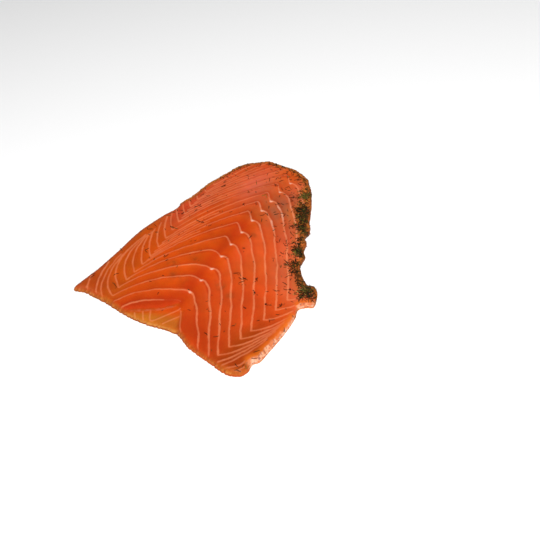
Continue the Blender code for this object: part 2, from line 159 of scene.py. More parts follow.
# Colours, as they look in the light of the scene
ORANGE = (215, 77, 12)
LEFT_ORANGE = (200, 80, 12)
TIP_ORANGE = (186, 76, 20)
RED = (214, 76, 22)
RED_RIGHT = (225, 88, 34)
DARK_RED = (192, 56, 14)
LOWER_RED = (180, 55, 10)
DEEP_RED = (194, 54, 12)
TOP_SHADE = (190, 62, 30)
TOP_RED = (226, 92, 50)
LOWER_ORANGE = (206, 90, 28)
FRONT_ORANGE = (164, 60, 10)
BRIGHT_ORANGE = (228, 112, 30)
EDGE_GOLD = (194, 106, 38)
RIGHT_PINK = (222, 99, 60)
# Painted highlight: the pink sheen of reflected light
PAINTED_PINK_SHEEN = (226, 110, 82)
# Painted highlight: the duller haze of reflected light
PAINTED_SHEEN_VEIL = (180, 90, 58)
EDGE_BROWN = (186, 82, 34)
LEDGE_GOLD = (200, 106, 30)
# Painted shade for the face of the step down to the ledge
STEP_PAINTED_SHADE = (172, 74, 6)
FAT = (255, 154, 104)
GLOW = (236, 96, 46)
SHADE = (186, 54, 16)
HOOK_WHITE = (255, 196, 168)
SILVER = (252, 190, 158)
SILVER_PINK = (226, 134, 92)
SILVER_SPECK = (138, 82, 76)
FRINGE_PALE = (222, 150, 78)
FRINGE_DARK = (172, 86, 30)
# Darker brown for the spots on the flesh
BROWN_SPOT = (140, 66, 26)
DILL_DARK = (46, 30, 11)
DILL_GREEN = (38, 43, 15)
DILL_OLIVE = (98, 90, 32)
DILL_BROWN = (110, 48, 12)
DILL_CRUMB = (84, 26, 8)
# Painted highlight: pale needles that stand for glints on the dill
DILL_PAINTED_GLINT = (170, 140, 70)
STAIN = (192, 92, 34)
STAIN_GOLD = (200, 116, 44)
LIGHT_LEVEL = 1.4  # light that reaches a flat patch: albedo is the look divided by this

# Dill lying on the flesh
SPRIG_PLACES = [
    (-15, -21), (-14, -22), (-8, -26), (-9, -27), (-18, -34), (-7, -43), (0, -49), (-20, -47), (-13, -54),
    (-28, -56), (-48, -43), (-63, -36), (-59, -43), (33, 10), (36, 1), (31, -5.4), (27, -13.4), (21, -24),
    (31, -20), (16.5, -35), (2, -41), (-13, -13), (19.3, 5.4), (2.7, 42.4), (3.4, 36.6), (65, 45),
    (73.4, 34.1), (82, 31), (73, 27), (52, 41), (56, 38), (47.3, 28.7), (37.9, 34.1), (81.6, 15.7),
    (69.6, 17.3), (71.4, 12.2), (58.8, 17.1), (65.9, 9.8), (50.9, 10.3), (48.2, 3.2), (48.1, -4.9),
    (45.8, -11.3), (59, 29), (-17, 55), (-45.5, 51.5), (-40.8, 35.6), (-79.7, 43.4), (-71.2, 46.4),
    (-84, 57.2), (-57.7, 61.4), (-62, 14), (43.4, 60.8), (13, 57), (24, 63), (-12.6, 67.2), (-7.9, 67.4),
    (-1.3, 66.6), (-24.2, 66.8), (-31.4, 66.4), (-72, -62), (-69.8, -66.5), (-69, -68), (-66, -68),
    (-56, -68.5), (-48, -69), (-36, -68.5), (-25, -66.5), (71.1, 39), (59.6, 14.8), (39, 15.7), (42.5, 10.5),
    (49.9, 6.9), (46.2, -3.4), (35.9, -2), (45.1, -6.9), (31.5, -20.3), (25, -24.5), (40.5, -14),
    (53.5, 3.5), (61.5, 4.5), (66, 21), (49, 17), (79, 24), (-71.4, -64.2), (-69.1, -68.8), (-65.2, -70.9),
    (-64.9, -68.4), (-60.3, -70.2), (-61, -69.2),
]
# Short thick crumbs of dill, darker than the needles
CRUMB_PLACES = [
    (-17.6, -33), (0.5, -49.5), (-19.7, -46.5), (-13.3, -53.6), (43.8, 60.8), (-16.9, 54.9), (2.7, 42.5),
    (37.8, 34.4), (-8, -26.1), (-14.4, -20.2), (-1.2, 60.5), (13.8, 57.1), (-31.9, -37.8),
]
# Where the dill is heaped, as (x, y, reach, needles, how green)
HEAPS = [
    (71.2, 69.4, 2.2, 14, 0), (76.8, 67, 2.2, 16, 0), (83.6, 62.6, 2.2, 18, 0), (93.2, 49.6, 1.9, 40, 0.1),
    (96, 43.8, 1.6, 26, 0.1), (96.6, 39.4, 1.5, 28, 0.1), (97, 31, 1.8, 20, 0.1), (95.2, 19.3, 1.6, 38, 0.1),
    (92.2, 13.4, 1.6, 20, 0.3), (88, 8.4, 1.7, 22, 0.2), (83, 4.6, 1.8, 24, 0.4), (79, 5.4, 2.7, 84, 0.95),
    (80.6, 10.2, 1.7, 16, 0.7), (71.7, 2.4, 2.2, 22, 0.4), (74.5, 9.6, 1.7, 10, 0.2),
    (64.6, -5.6, 3, 250, 0.12), (64.1, -1.2, 2.2, 44, 0.1), (58.2, -12.6, 2.7, 120, 0.3),
    (59.3, -7, 2.5, 56, 0.2), (50.9, -16.6, 3.5, 84, 0.6), (50.4, -11.8, 2.4, 26, 0.3),
    (48.8, -21, 2.2, 26, 0.3), (40.8, -22.6, 2.4, 26, 0), (36.2, -22.4, 1.7, 8, 0),
    (31.4, -30.2, 2.5, 124, 0.4), (29.6, -33.6, 2, 44, 0.2), (30.9, -26.8, 1.7, 14, 0),
    (21, -37, 2.4, 66, 0.1), (15.6, -41.2, 2.4, 66, 0), (14.2, -45.6, 2, 44, 0.1), (16.8, -33.8, 1.7, 12, 0),
    (12, -50.1, 1.9, 24, 0.1), (9.4, -53.5, 1.9, 30, 0.3), (8.2, -57.8, 2.8, 110, 0.6),
    (4.8, -57.4, 2.4, 52, 0.3), (11.2, -59.4, 2, 26, 0.2), (2.2, -59.8, 2, 22, 0), (6.8, -61.8, 2, 32, 0.2),
    (5.6, -65.2, 1.7, 18, 0.1),
]
# Darker brown spots on the flesh, as (x, y, reach)
BROWN_SPOTS = [
    (-40, 27, 3.5), (-45, 12, 4), (-25, 19, 3), (-46, 19, 2.5), (20, 5, 2.5), (-32, -24, 3),
    (-30, -13, 3.5), (-59.8, -71.6, 2.2), (-61.4, -72.4, 2), (-60.5, -71.9, 1.4),
]

# Where the crust is thick along the rim, as (x, y, reach, extra width outside, extra width over the flesh)
CRUST_CLUMPS = [
    (66, -9, 12, 0.4, 5), (50, -20, 8, 0.3, 1.6), (37, -29, 8, 0.4, 2), (15, -48, 7, 1.8, 0.2),
    (10, -58, 6, 1.2, 1.6), (93, 50, 7, 0.6, 0.8), (94, 21, 8, 1.3, 0.4), (84, 5, 8, 0.2, 1.8),
]
CRUST_START = (4.0, 69.5)
CRUST_END = (7.5, -67.5)

TOP_FROM = 1.2  # needles lie on the flesh's points above this height
RIM_NEEDLES = 640
BAND_NEEDLES = 170
SCATTERED_NEEDLES = 150

# Ranges of a needle's length, radius and pitch
SPRIG_SIZES = ((2.6, 5.0), (0.22, 0.31), (-0.02, 0.1))
HEAP_SIZES = ((2.0, 4.2), (0.19, 0.31), (-0.04, 0.12))
RIM_SIZES = ((1.8, 3.8), (0.2, 0.33), (-0.04, 0.1))
BAND_SIZES = ((1.6, 3.8), (0.17, 0.28), (-0.02, 0.1))
SCATTERED_SIZES = ((0.8, 2.8), (0.16, 0.26), (-0.02, 0.08))

# What the shaders are set to
FAT_OPACITY = 0.46
FLESH_FINISH = {
    "Roughness": 0.42, "Specular IOR Level": 0.06, "Coat Weight": 0.03, "Coat Roughness": 0.15,
    "Subsurface Weight": 0.12, "Subsurface Radius": (1.0, 0.35, 0.12), "Subsurface Scale": 0.002,
}
DILL_FINISH = {"Roughness": 0.55, "Specular IOR Level": 0.1}
FLOOR_FINISH = {"Base Color": (0.9, 0.9, 0.9, 1), "Roughness": 0.9}
FLOOR_HALF, FLOOR_LEVEL = 3000, -0.02

# Camera, where the slice is seen as it was taken
CAMERA_PLACE = (-175.93, -194.78, 294.99)
CAMERA_RIGHT = (0.68974, -0.72395, 0.01249)
CAMERA_UP = (0.54739, 0.53267, 0.64547)
CAMERA_BACK = (-0.47394, -0.43837, 0.76369)
LENS_MM = 35.97


def smooth_path(points, step, closed):
    """A Catmull-Rom curve through the points, resampled at even steps."""
    control = np.array(points, float)
    first, last = (control[-1:], control[:2]) if closed else (control[:1], control[-1:])
    padded = np.concatenate([first, control, last])
    fine = [
        0.5 * (
            2 * start + (end - before) * t
            + (2 * before - 5 * start + 4 * end - after) * t**2
            + (3 * start - before - 3 * end + after) * t**3
        )
        for before, start, end, after in zip(padded, padded[1:], padded[2:], padded[3:])
        for t in np.linspace(0, 1, 12, endpoint=False)
    ]
    fine.append(control[0] if closed else control[-1])
    return resampled(np.array(fine), step, closed)


def resampled(path, step, closed=False):
    """Even steps along the path. Columns after x and y, where there are any, are carried along."""
    lengths = np.concatenate([[0], np.cumsum(np.linalg.norm(np.diff(path[:, :2], axis=0), axis=1))])
    count = max(2, round(lengths[-1] / step) + 1)
    at = np.linspace(0, lengths[-1], count)
    even = np.column_stack([np.interp(at, lengths, column) for column in path.T])
    return even[:-1] if closed else even


def normals_of(path, closed):
    """Unit vectors to the right of the path's direction."""
    if closed:
        along = np.roll(path, -1, axis=0) - np.roll(path, 1, axis=0)
    else:
        along = np.gradient(path, axis=0)
    right = np.column_stack([along[:, 1], -along[:, 0]])
    return right / np.linalg.norm(right, axis=1, keepdims=True)


def tree_of(points):
    """A search tree over plan points."""
    tree = KDTree(len(points))
    for i, (x, y) in enumerate(points):
        tree.insert((x, y, 0), i)
    tree.balance()
    return tree


def nearest_in(among, points):
    """Distances from the points to the nearest of the others, and which those are."""
    tree = tree_of(among)
    hits = [tree.find((x, y, 0)) for x, y in points]
    return np.array([hit[2] for hit in hits]), np.array([hit[1] for hit in hits])


def distance_to(points, path, closed=False):
    """The distance from each point to the path, good to a few hundredths of a millimetre."""
    whole = np.concatenate([path, path[:1]]) if closed else path
    apart, _ = nearest_in(resampled(whole, 0.06), points)
    return np.maximum(apart - 0.03, 0)


def inside(points, loop):
    """Whether each point lies in the closed loop, by counting crossings."""
    found = np.zeros(len(points), bool)
    x, y = points[:, 0], points[:, 1]
    for (x1, y1), (x2, y2) in zip(loop, np.roll(loop, -1, axis=0)):
        crosses = (y1 > y) != (y2 > y)
        if crosses.any():
            at = x1 + (y - y1) / (y2 - y1 if y2 != y1 else 1e-12) * (x2 - x1)
            found ^= crosses & (x < at)
    return found


def bezier(*control):
    """An even fine run of points on the Bezier curve with these control points."""
    degree = len(control) - 1
    t = np.linspace(0, 1, 25)[:, None]
    return sum(
        math.comb(degree, i) * (1 - t) ** (degree - i) * t**i * np.array(point, float)
        for i, point in enumerate(control)
    )


def turning_point(rows, number):
    """A row of turning points, read between the lines that it lists."""
    knots = sorted(rows)
    return np.array([np.interp(number, knots, [rows[k][axis] for k in knots]) for axis in (0, 1)])


def fat_line(number):
    """One fat line across the slice: up to four limbs that turn at the upper, middle and lower points."""
    upper = turning_point(UPPER_POINTS, number)
    middle = turning_point(MIDDLE_POINTS, number)
    lower = turning_point(LOWER_POINTS, number)
    shoulder = middle + turning_point(SHOULDERS, number)
    arriving = (shoulder - upper) / np.linalg.norm(shoulder - upper)
    rounding = np.interp(number, [3, 4.5], [5, 2])
    before = shoulder - arriving * rounding + [0, 0.7]
    first = bezier(upper + turning_point(ARC_ENDS, number), upper + turning_point(ARC_BENDS, number), upper)
    second = bezier(upper, (upper + shoulder) / 2 + [0, 10], before)
    heading = (second[-1] - second[-2]) / np.linalg.norm(second[-1] - second[-2])
    turn = bezier(before, before + heading * rounding * 1.3, middle + [0.6, 2.5], middle)
    swell = np.interp(number, [3, 5], [0, 5])
    arch = middle + turning_point(ARCHES, number)
    third = bezier(middle, arch, lower + (middle - lower) * 0.3 + [2 + swell, -swell / 5], lower)
    wobble = np.sin(np.linspace(0, 7 * math.pi, 25) + number * 1.7) * np.sin(np.linspace(0, math.pi, 25))
    third += np.outer(wobble, [0.35, -0.35])
    fourth = bezier(lower, lower + [12, -10], lower + [46, -14])
    limbs = [first, second[1:], turn[1:], third[1:], fourth[1:]]
    if number % 1:
        limbs = [first, second[1:15]] if number == 8.5 else [second[:15]]
    elif number < 0:
        limbs = limbs[:3]
    path = np.concatenate([
        np.column_stack([limb, np.full(len(limb), strength)]) for limb, strength in zip(limbs, LIMB_STRENGTHS)
    ])
    if number == -1:
        path[:, 2] = 0.95
        path[-24:, 2] = 0.15
    elif 0 <= number <= 3:
        to_middle = np.hypot(*(path[:, :2] - middle).T)
        path[:, 2] = np.maximum(path[:, 2], 0.85 - 0.35 * ramp(to_middle, 12, 45))
    return path


def noise(points, size, seed):
    """Smooth noise from -1 to 1 over the plane, with features about this size."""
    table = np.random.default_rng(seed).uniform(-1, 1, (64, 64))
    scaled = points / size
    cell = np.floor(scaled).astype(int)
    share = scaled - cell
    share = share * share * (3 - 2 * share)
    column, row = cell[:, 0], cell[:, 1]

    def corner(i, j):
        return table[(column + i) % 64, (row + j) % 64]

    low = corner(0, 0) * (1 - share[:, 0]) + corner(1, 0) * share[:, 0]
    high = corner(0, 1) * (1 - share[:, 0]) + corner(1, 1) * share[:, 0]
    return low * (1 - share[:, 1]) + high * share[:, 1]


def unrolled(count, step, row=0.0):
    """Even steps along a straightened path, at this row, to draw noise at."""
    return np.column_stack([np.arange(count) * step, np.full(count, row)])


def runs_where(path, keep):
    """The stretches of the path whose points are all kept."""
    breaks = np.flatnonzero(np.diff(keep.astype(int))) + 1
    return [run for run, kept in zip(np.split(path, breaks), np.split(keep, breaks)) if kept[0]]


def thinned(candidates, taken, spacing):
    """The candidates that keep the spacing from the taken points and from each other."""
    cells, kept = {}, []

    def cell_of(point):
        return int(point[0] // spacing), int(point[1] // spacing)

    def is_near(point):
        column, row = cell_of(point)
        return any(
            math.hypot(point[0] - other[0], point[1] - other[1]) < spacing
            for i in (-1, 0, 1) for j in (-1, 0, 1) for other in cells.get((column + i, row + j), ())
        )

    for point in taken:
        cells.setdefault(cell_of(point), []).append(point)
    for point in candidates:
        if not is_near(point):
            cells.setdefault(cell_of(point), []).append(point)
            kept.append(point)
    return kept


def ledge_share(points, ledge):
    """1 on the thin ledge and 0 off it, with a soft change where its side is blurred."""
    within = inside(points, ledge)
    soft_side = np.array([LEDGE_EDGE[-1], *LEDGE_SOFT_SIDE]) + SHIFT
    apart = distance_to(points, soft_side)
    return ramp(np.where(within, apart, -apart), -2.2, 2.8)


def slab_height(points, rim, ledge):
    """Height of the slab's smooth top, without the fat lines."""
    x, y = points[:, 0], points[:, 1]
    wave = np.sin(x / 21 + 0.6) * np.cos(y / 17) + 0.6 * np.sin((x + y) / 13 + 2.0)
    height = THICKNESS + WAVE_HEIGHT * wave * 0.6
    height += (LEDGE_HEIGHT - height) * ledge_share(points, ledge)
    edge = np.clip(distance_to(points, rim, True) / RIM_WIDTH, 0, 1)
    rounded = np.sqrt(1 - (1 - edge) ** 2)
    return height * (EDGE_HEIGHT / THICKNESS + (1 - EDGE_HEIGHT / THICKNESS) * rounded)


def ramp(value, low, high):
    """0 below the low end, 1 above the high end and soft between."""
    share = np.clip((value - low) / (high - low), 0, 1)
    return share * share * (3 - 2 * share)


def oval(x, y, middle, reach):
    """1 in the middle, fading to nothing past the reach."""
    return np.exp(-(((x - middle[0]) / reach[0]) ** 2 + ((y - middle[1]) / reach[1]) ** 2))


def row_at(x, row):
    """The row's second value at each x."""
    return np.interp(x, *np.transpose(row))


def mixed(first, second, share):
    """The first colours with this share of the second."""
    share = np.asarray(share)[..., None]
    return np.asarray(first, float) * (1 - share) + np.asarray(second, float) * share


def linear(look):
    """Linear albedo for a colour given as it looks, 0 to 255."""
    look = np.clip(np.asarray(look, float) / 255, 0, 1)
    value = np.where(look <= 0.04045, look / 12.92, ((look + 0.055) / 1.055) ** 2.4)
    return value / LIGHT_LEVEL


def new_object(name, verts, faces, material, smooth=True):
    mesh = bpy.data.meshes.new(name)
    mesh.from_pydata((np.array(verts) * MM).tolist(), [], faces)
    mesh.materials.append(material)
    mesh.polygons.foreach_set("use_smooth", [smooth] * len(mesh.polygons))
    mesh.update()
    made = bpy.data.objects.new(name, mesh)
    bpy.context.scene.collection.objects.link(made)
    return made


def add_values(made, name, values):
    layer = made.data.attributes.new(name, "FLOAT", "POINT")
    layer.data.foreach_set("value", np.asarray(values, np.float32))


def add_colours(made, name, colours):
    layer = made.data.attributes.new(name, "FLOAT_COLOR", "POINT")
    full = np.column_stack([colours, np.ones(len(colours))]).astype(np.float32)
    layer.data.foreach_set("color", full.ravel())


def line_runs(rim, ledge):
    """Every visible stretch of fat line, as (number, path), where a path's third column is its strength."""
    found = []
    for number in (*range(FIRST_LINE, LAST_LINE + 1), *FAINT_LINES):
        path = resampled(fat_line(number), FINE_STEP)
        path[:, :2] += SHIFT
        along = unrolled(len(path), FINE_STEP, number * 7.3)
        jitter = 0.3 * noise(along, 5.0, 3) + 0.12 * noise(along, 1.8, 4)
        path[:, :2] += normals_of(path[:, :2], False) * jitter[:, None]
        x, y = path[:, 0], path[:, 1]
        uneven = 1 + 0.22 * noise(along, 7, 31) + 0.14 * noise(along, 2.3, 32)
        uneven -= oval(x, y, *FADED_LINES) * (0.35 + 0.4 * noise(along, 3.1, 33))
        path[:, 2] *= uneven * (FAINT_SHARE if number % 1 else 1) * (1 + 0.35 * oval(x, y, *CLEAR_LINES))
        keep = inside(path, rim) & (distance_to(path[:, :2], rim, True) > RIM_GAP)
        keep &= ~inside(path, ledge) & (distance_to(path[:, :2], ledge, True) > LEDGE_GAP)
        for run in runs_where(path, keep):
            if len(run) > 12:
                found.append((number, resampled(run, LINE_STEP)))
    for control in SHORT_LINES:
        path = smooth_path(control, FINE_STEP, False) + SHIFT
        keep = inside(path, rim) & (distance_to(path, rim, True) > SHORT_GAP)
        for run in runs_where(np.column_stack([path, np.full(len(path), 0.7)]), keep):
            if len(run) > 4:
                found.append((0.5, resampled(run, LINE_STEP)))
    return found


def front_share(points):
    """1 along the pale cut strip of the front edge, 0 elsewhere."""
    x, y = (points - SHIFT).T
    main_part = ramp(x, -63, -57) * ramp(-x, 11, 15)
    last_part = ramp(x, -8, -5) * ramp(-x, -6, -3)
    return ramp(-y, 56, 60) * (main_part + last_part)


def strip_width(points):
    """How wide the pale cut strip is: broad at its left end, tapering to the right."""
    return row_at(points[:, 0] - SHIFT[0], STRIP_WIDTHS)


def torn_share(points, crust_side):
    """How strongly the edge is torn: most on the left sides, little on the cut and the top edge."""
    x, y = (points - SHIFT).T
    left = ramp(-x, 66, 73) * ramp(-y, -62, -52)
    away = ramp(distance_to(points, crust_side), 1, 4)
    return (0.25 + 0.75 * left) * away


def edge_cuts(outline, crust_side):
    """How far the torn edge is cut in at each point of the outline."""
    along = unrolled(len(outline), OUTLINE_STEP)
    teeth = 0.6 * np.abs(noise(along, 0.9, 91)) + 0.1 * (1 + noise(along, 3.5, 92))
    return teeth * torn_share(outline, crust_side)


def band_share(runs, points):
    """Where a point lies between two lines, 0 at the lower-numbered one to 1, and how sure that is."""
    sides = []
    for parity in (0, 1):
        samples = [(number, resampled(path[:, :2], 0.3)) for number, path in runs if number % 2 == parity]
        numbers = np.concatenate([np.full(len(path), number) for number, path in samples])
        apart, which = nearest_in(np.concatenate([path for _, path in samples]), points)
        sides.append((apart, numbers[which]))
    (to_even, even), (to_odd, odd) = sides
    share = np.where(even < odd, to_even, to_odd) / np.maximum(to_even + to_odd, 1e-6)
    sure = (np.abs(even - odd) == 1) * ramp(-(to_even + to_odd), -15, -11)
    return share, sure


def zone_colours(points, near):
    """The flesh's colour over the slice, without its fat lines, as it looks."""
    x, y = (points - SHIFT).T
    above_row = y - row_at(x, UPPER_ROW)
    above_seam = y - row_at(x, SEAM_ROW)
    colours = mixed(ORANGE, mixed(RED, RED_RIGHT, ramp(x, -30, 12)), ramp(-above_seam, 0, 12))
    # Painted highlight: the duller haze of reflected light, spread unevenly
    painted_haze = oval(x, y, *PAINTED_SHEEN_VEIL_OVAL) * (1 + 0.35 * noise(points, 6, 7))
    deep = np.exp(-(((above_seam - 4.0) / 5.0) ** 2)) * ramp(x, -62, -45) * ramp(-x, -40, -20)
    to_lobe = distance_to(points, np.array(LOBE) + SHIFT)
    left_margin = ramp(-x, 64, 70) * ramp(-near.edge, -2.8, -0.4)
    left_margin *= 0.45 + 0.55 * ramp(y, -32, -18)
    low_margin = ramp(-y, 54, 60) * ramp(-x, 52, 60) * ramp(-near.edge, -5.0, -1.0)
    strip = near.front * ramp(strip_width(points) - near.edge, -4.5, -0.5)
    upper_edge = ramp(-near.edge, -5.0, -1.5) * (y > 40)
    upper_edge = upper_edge * (0.5 * ramp(-x, -5, 5) + 0.4 * ramp(-x, -60, -40))
    past_crust = np.maximum(near.crust - SIDE_LEAN - near.crust_inner, 0)
    stain = np.exp(-((past_crust / (3.6 + 1.1 * near.crust_inner)) ** 1.5)) * ramp(-y, -50, -20)
    stain *= np.clip(0.62 + 0.1 * near.crust_inner + 0.4 * noise(points, 3, 8), 0, 1)
    for colour, share in (
        (LOWER_RED, 0.8 * oval(x, y, *LOWER_RED_OVAL)),
        (LEFT_ORANGE, ramp(above_row, -10, 3)),
        (TIP_ORANGE, 0.8 * ramp(-x, 70, 90) * ramp(y, 22, 36)),
        (TOP_RED, 0.9 * ramp(x, -32, -4) * ramp(above_row, -16, 2)),
        (FRONT_ORANGE, 0.95 * ramp(-y, 46, 57) * ramp(-x, 20, 44)),
        (TOP_SHADE, 0.6 * oval(x, y, *TOP_SHADE_OVAL)),
        (RIGHT_PINK, 0.85 * ramp(-near.crust, -26, -10) * ramp(-y, -30, -14)),
        # Painted highlights: the pink sheen and the duller haze of reflected light
        (PAINTED_PINK_SHEEN, 0.9 * oval(x, y, *PAINTED_PINK_SHEEN_OVAL)),
        (PAINTED_SHEEN_VEIL, np.clip(painted_haze, 0, 1)),
        (DEEP_RED, 0.6 * deep),
        (DARK_RED, 0.8 * np.exp(-((to_lobe / 7.5) ** 2))),
        (EDGE_GOLD, 0.75 * left_margin),
        (EDGE_GOLD, 0.45 * low_margin),
        (BRIGHT_ORANGE, 0.8 * strip),
        (EDGE_BROWN, upper_edge),
        (STAIN_GOLD, np.clip(stain, 0, 0.85)),
    ):
        colours = mixed(colours, colour, share)
    for place_x, place_y, reach in BROWN_SPOTS:
        spot = oval(x, y, (place_x, place_y), (reach, reach))
        colours = mixed(colours, BROWN_SPOT, np.clip(0.42 * spot * (1 + noise(points, 2.2, 12)), 0, 1))
    return colours


def top_mesh(rim, runs, step_run):
    """Points and faces of the flesh's top, with rows of points along the rim, the lines and the step."""
    points, edges = [], []

    def add(path, closed=False):
        first = len(points)
        points.extend(path)
        edges.extend((first + i, first + i + 1) for i in range(len(path) - 1))
        if closed:
            edges.append((len(points) - 1, first))

    add(rim, closed=True)
    for _, run in runs:
        add(run[:, :2])
    step_out = normals_of(step_run, False)
    for offset in (-0.3, 0.3):
        add(step_run + step_out * offset)

    beside = []
    for offset in ROWS_BESIDE:
        for side in (-1, 1):
            for _, run in runs:
                beside.extend(run[:, :2] + normals_of(run[:, :2], False) * offset * side)
    free = thinned(beside, points, 0.27)
    columns = np.arange(-102, 102, FILL_SPACING)
    rows = np.arange(-76, 76, FILL_SPACING * 0.87)
    grid = np.array([(x + FILL_SPACING / 2 * (j % 2), y) for j, y in enumerate(rows) for x in columns])
    grid = grid[inside(grid, rim)]
    free = np.array(free + thinned(list(grid), list(points) + free, 0.5))
    free = free[inside(free, rim)]
    free = free[distance_to(free, rim, True) > 0.25]
    free = free[distance_to(free, step_run) > 0.45]
    corners, _, faces, _, _, _ = delaunay_2d_cdt(
        [tuple(p) for p in points] + [tuple(p) for p in free], edges, [], 1, 1e-5
    )
    return np.array([tuple(corner) for corner in corners]), list(faces)


def line_strength(top, near, drawn):
    """Strength of the nearest fat line at each point, and how white it is there."""
    x, y = (top - SHIFT).T
    fading = ramp((near.edge - 0.8 * near.front * near.strip) / (1 + near.front), 0.5, 2.2)
    fading = np.maximum(fading, near.ledge * ramp(near.edge, 0.3, 1.2))
    strength = drawn * fading * (1 - near.silver)
    hooks = [turning_point(MIDDLE_POINTS, number) for number in range(12)]
    to_hook = np.min([np.hypot((x - hx + 0.6) / 2.3, (y - hy) / 1.1) for hx, hy in hooks], axis=0)
    hook_row = np.array([turning_point(MIDDLE_POINTS, number) for number in range(-1, 10)]) + SHIFT
    white = np.exp(-(to_hook**2)) + 0.22 * np.exp(-((distance_to(top, hook_row) / 0.5) ** 2))
    blotches = oval(x, y, *BLOTCHED_LINES) * ramp(noise(top, 4.0, 34), -0.5, 0.6)
    return strength, np.clip(white + 0.55 * blotches, 0, 1) * (strength > 0.05)


def top_height(top, near, rim, ledge, ridge):
    """Height of the flesh's top, with its fat lines, its grain, the step and the torn edge."""
    height = slab_height(top, rim, ledge) + ridge
    height += 0.05 * noise(top, 5, 41) * ramp(near.edge, 0.3, 2) + 0.02 * noise(top, 1.4, 42)
    height += near.silver * (0.3 * noise(top, 1.1, 43) + 0.12 * noise(top, 0.6, 44))
    height -= STEP_DEPTH * (1 - near.ledge) * np.exp(-((near.step / 2.4) ** 2))
    return height * (1 - 0.42 * near.torn * ramp(-near.edge, -2.6, -0.2))


def top_colours(top, near, runs):
    """The whole top's colour, apart from the lines themselves."""
    x, y = (top - SHIFT).T
    colours = zone_colours(top, near)

    share, sure = band_share(runs, top)
    near_seam = np.exp(-((np.abs(y - row_at(x, SEAM_ROW)) / 26) ** 2))
    sure = sure * np.maximum(0.45 + 0.55 * near_seam, oval(x, y, *SHADED_BANDS))
    sure = sure * (1 - near.ledge) * (1 - 0.4 * ramp(-y, 48, 58))
    colours = mixed(colours, GLOW, 0.45 * sure * ramp(share, 0.5, 1.0))
    colours = mixed(colours, SHADE, 0.55 * sure * ramp(-share, -0.5, 0.0))

    ledge_depth = near.edge / np.maximum(near.edge + near.step, 1e-6)
    reddening = ramp(ledge_depth + 0.25 * ramp(x, -78, -62), 0.45, 1.15)
    colours = mixed(colours, mixed(LEDGE_GOLD, ORANGE, reddening), near.ledge)
    # Painted shade over the face of the step down to the ledge
    colours = mixed(colours, STEP_PAINTED_SHADE, 0.85 * (1 - 0.5 * near.ledge) * np.exp(-(near.step**2)))
    colours *= (1 + 0.045 * noise(top, 12, 51) + 0.03 * noise(top, 4, 52))[:, None]
    colours[:, 1] *= 1 + 0.05 * noise(top, 17, 53)

    shine = mixed(SILVER_PINK, SILVER, ramp(noise(top, 1.6, 61), -0.5, 0.4))
    colours = mixed(colours, shine, near.silver * (0.8 + 0.2 * noise(top, 3.5, 63)))
    speckle = ramp(noise(top, 0.9, 62), 0.25, 0.6)
    colours = mixed(colours, SILVER_SPECK, near.silver * speckle * 0.75)

    teeth = mixed(FRINGE_DARK, FRINGE_PALE, ramp(near.tip, 0.25, 0.8))
    fringe = near.torn * (1 - near.front) * ramp(-near.edge, -1.3, -0.1)
    colours = mixed(colours, teeth, 0.6 * fringe)
    strokes = ramp(noise(np.column_stack([x + 0.5 * y, near.edge * 0.6]), 1.3, 64), -0.3, 0.5)
    return mixed(colours, FRINGE_PALE, 0.55 * near.ledge * strokes * ramp(-near.edge, -2.2, -0.4))


def cut_side(outline, rim, rim_heights, cuts, crust_side):
    """The rings of the cut side from the rim down, each as (points, heights, colours)."""
    count = len(outline)
    out = normals_of(outline, True)
    front = front_share(outline)
    far_from_crust = ramp(distance_to(outline, crust_side), 2, 5)
    tips = ramp(1 - np.clip(cuts / TEETH_DEPTH, 0, 1), 0.25, 0.8)
    low = ramp(-outline[:, 1], 22, 34) * ramp(-outline[:, 0], 55, 62)
    for row in range(1, SIDE_ROWS + 1):
        level = row / SIDE_ROWS
        around = unrolled(count, OUTLINE_STEP, row * 0.9)
        bump = 0.0 if row == SIDE_ROWS else 0.3
        rough = bump * (noise(around, 1.6, 71) + 0.6 * noise(around, 0.8, 72))
        ring = rim * (1 - level) + outline * level
        ring = ring + out * (np.minimum(rough, (1 - level) * SIDE_LEAN) * far_from_crust)[:, None]
        streaks = 0.5 + 0.5 * noise(around * [1, 0.3], 1.1, 73)
        # Painted shade: the cut side darkens towards its foot, over the paler tooth tips and streaks
        lit = np.clip(0.35 * tips + 0.3 * streaks - 0.5 * level, 0, 1)
        pale = mixed(FRINGE_DARK, FRINGE_PALE, lit)
        pale = mixed(pale, LOWER_ORANGE, 0.75 * low)
        shine = mixed(SILVER_PINK, SILVER, ramp(streaks, 0.2, 0.6))
        shine = mixed(shine, SILVER_SPECK, ramp(noise(around, 0.7, 74), 0.4, 0.75))
        shine = mixed(shine, BRIGHT_ORANGE, 0.5 * level**2)
        yield ring, rim_heights * (1 - level), mixed(pale, shine, front)


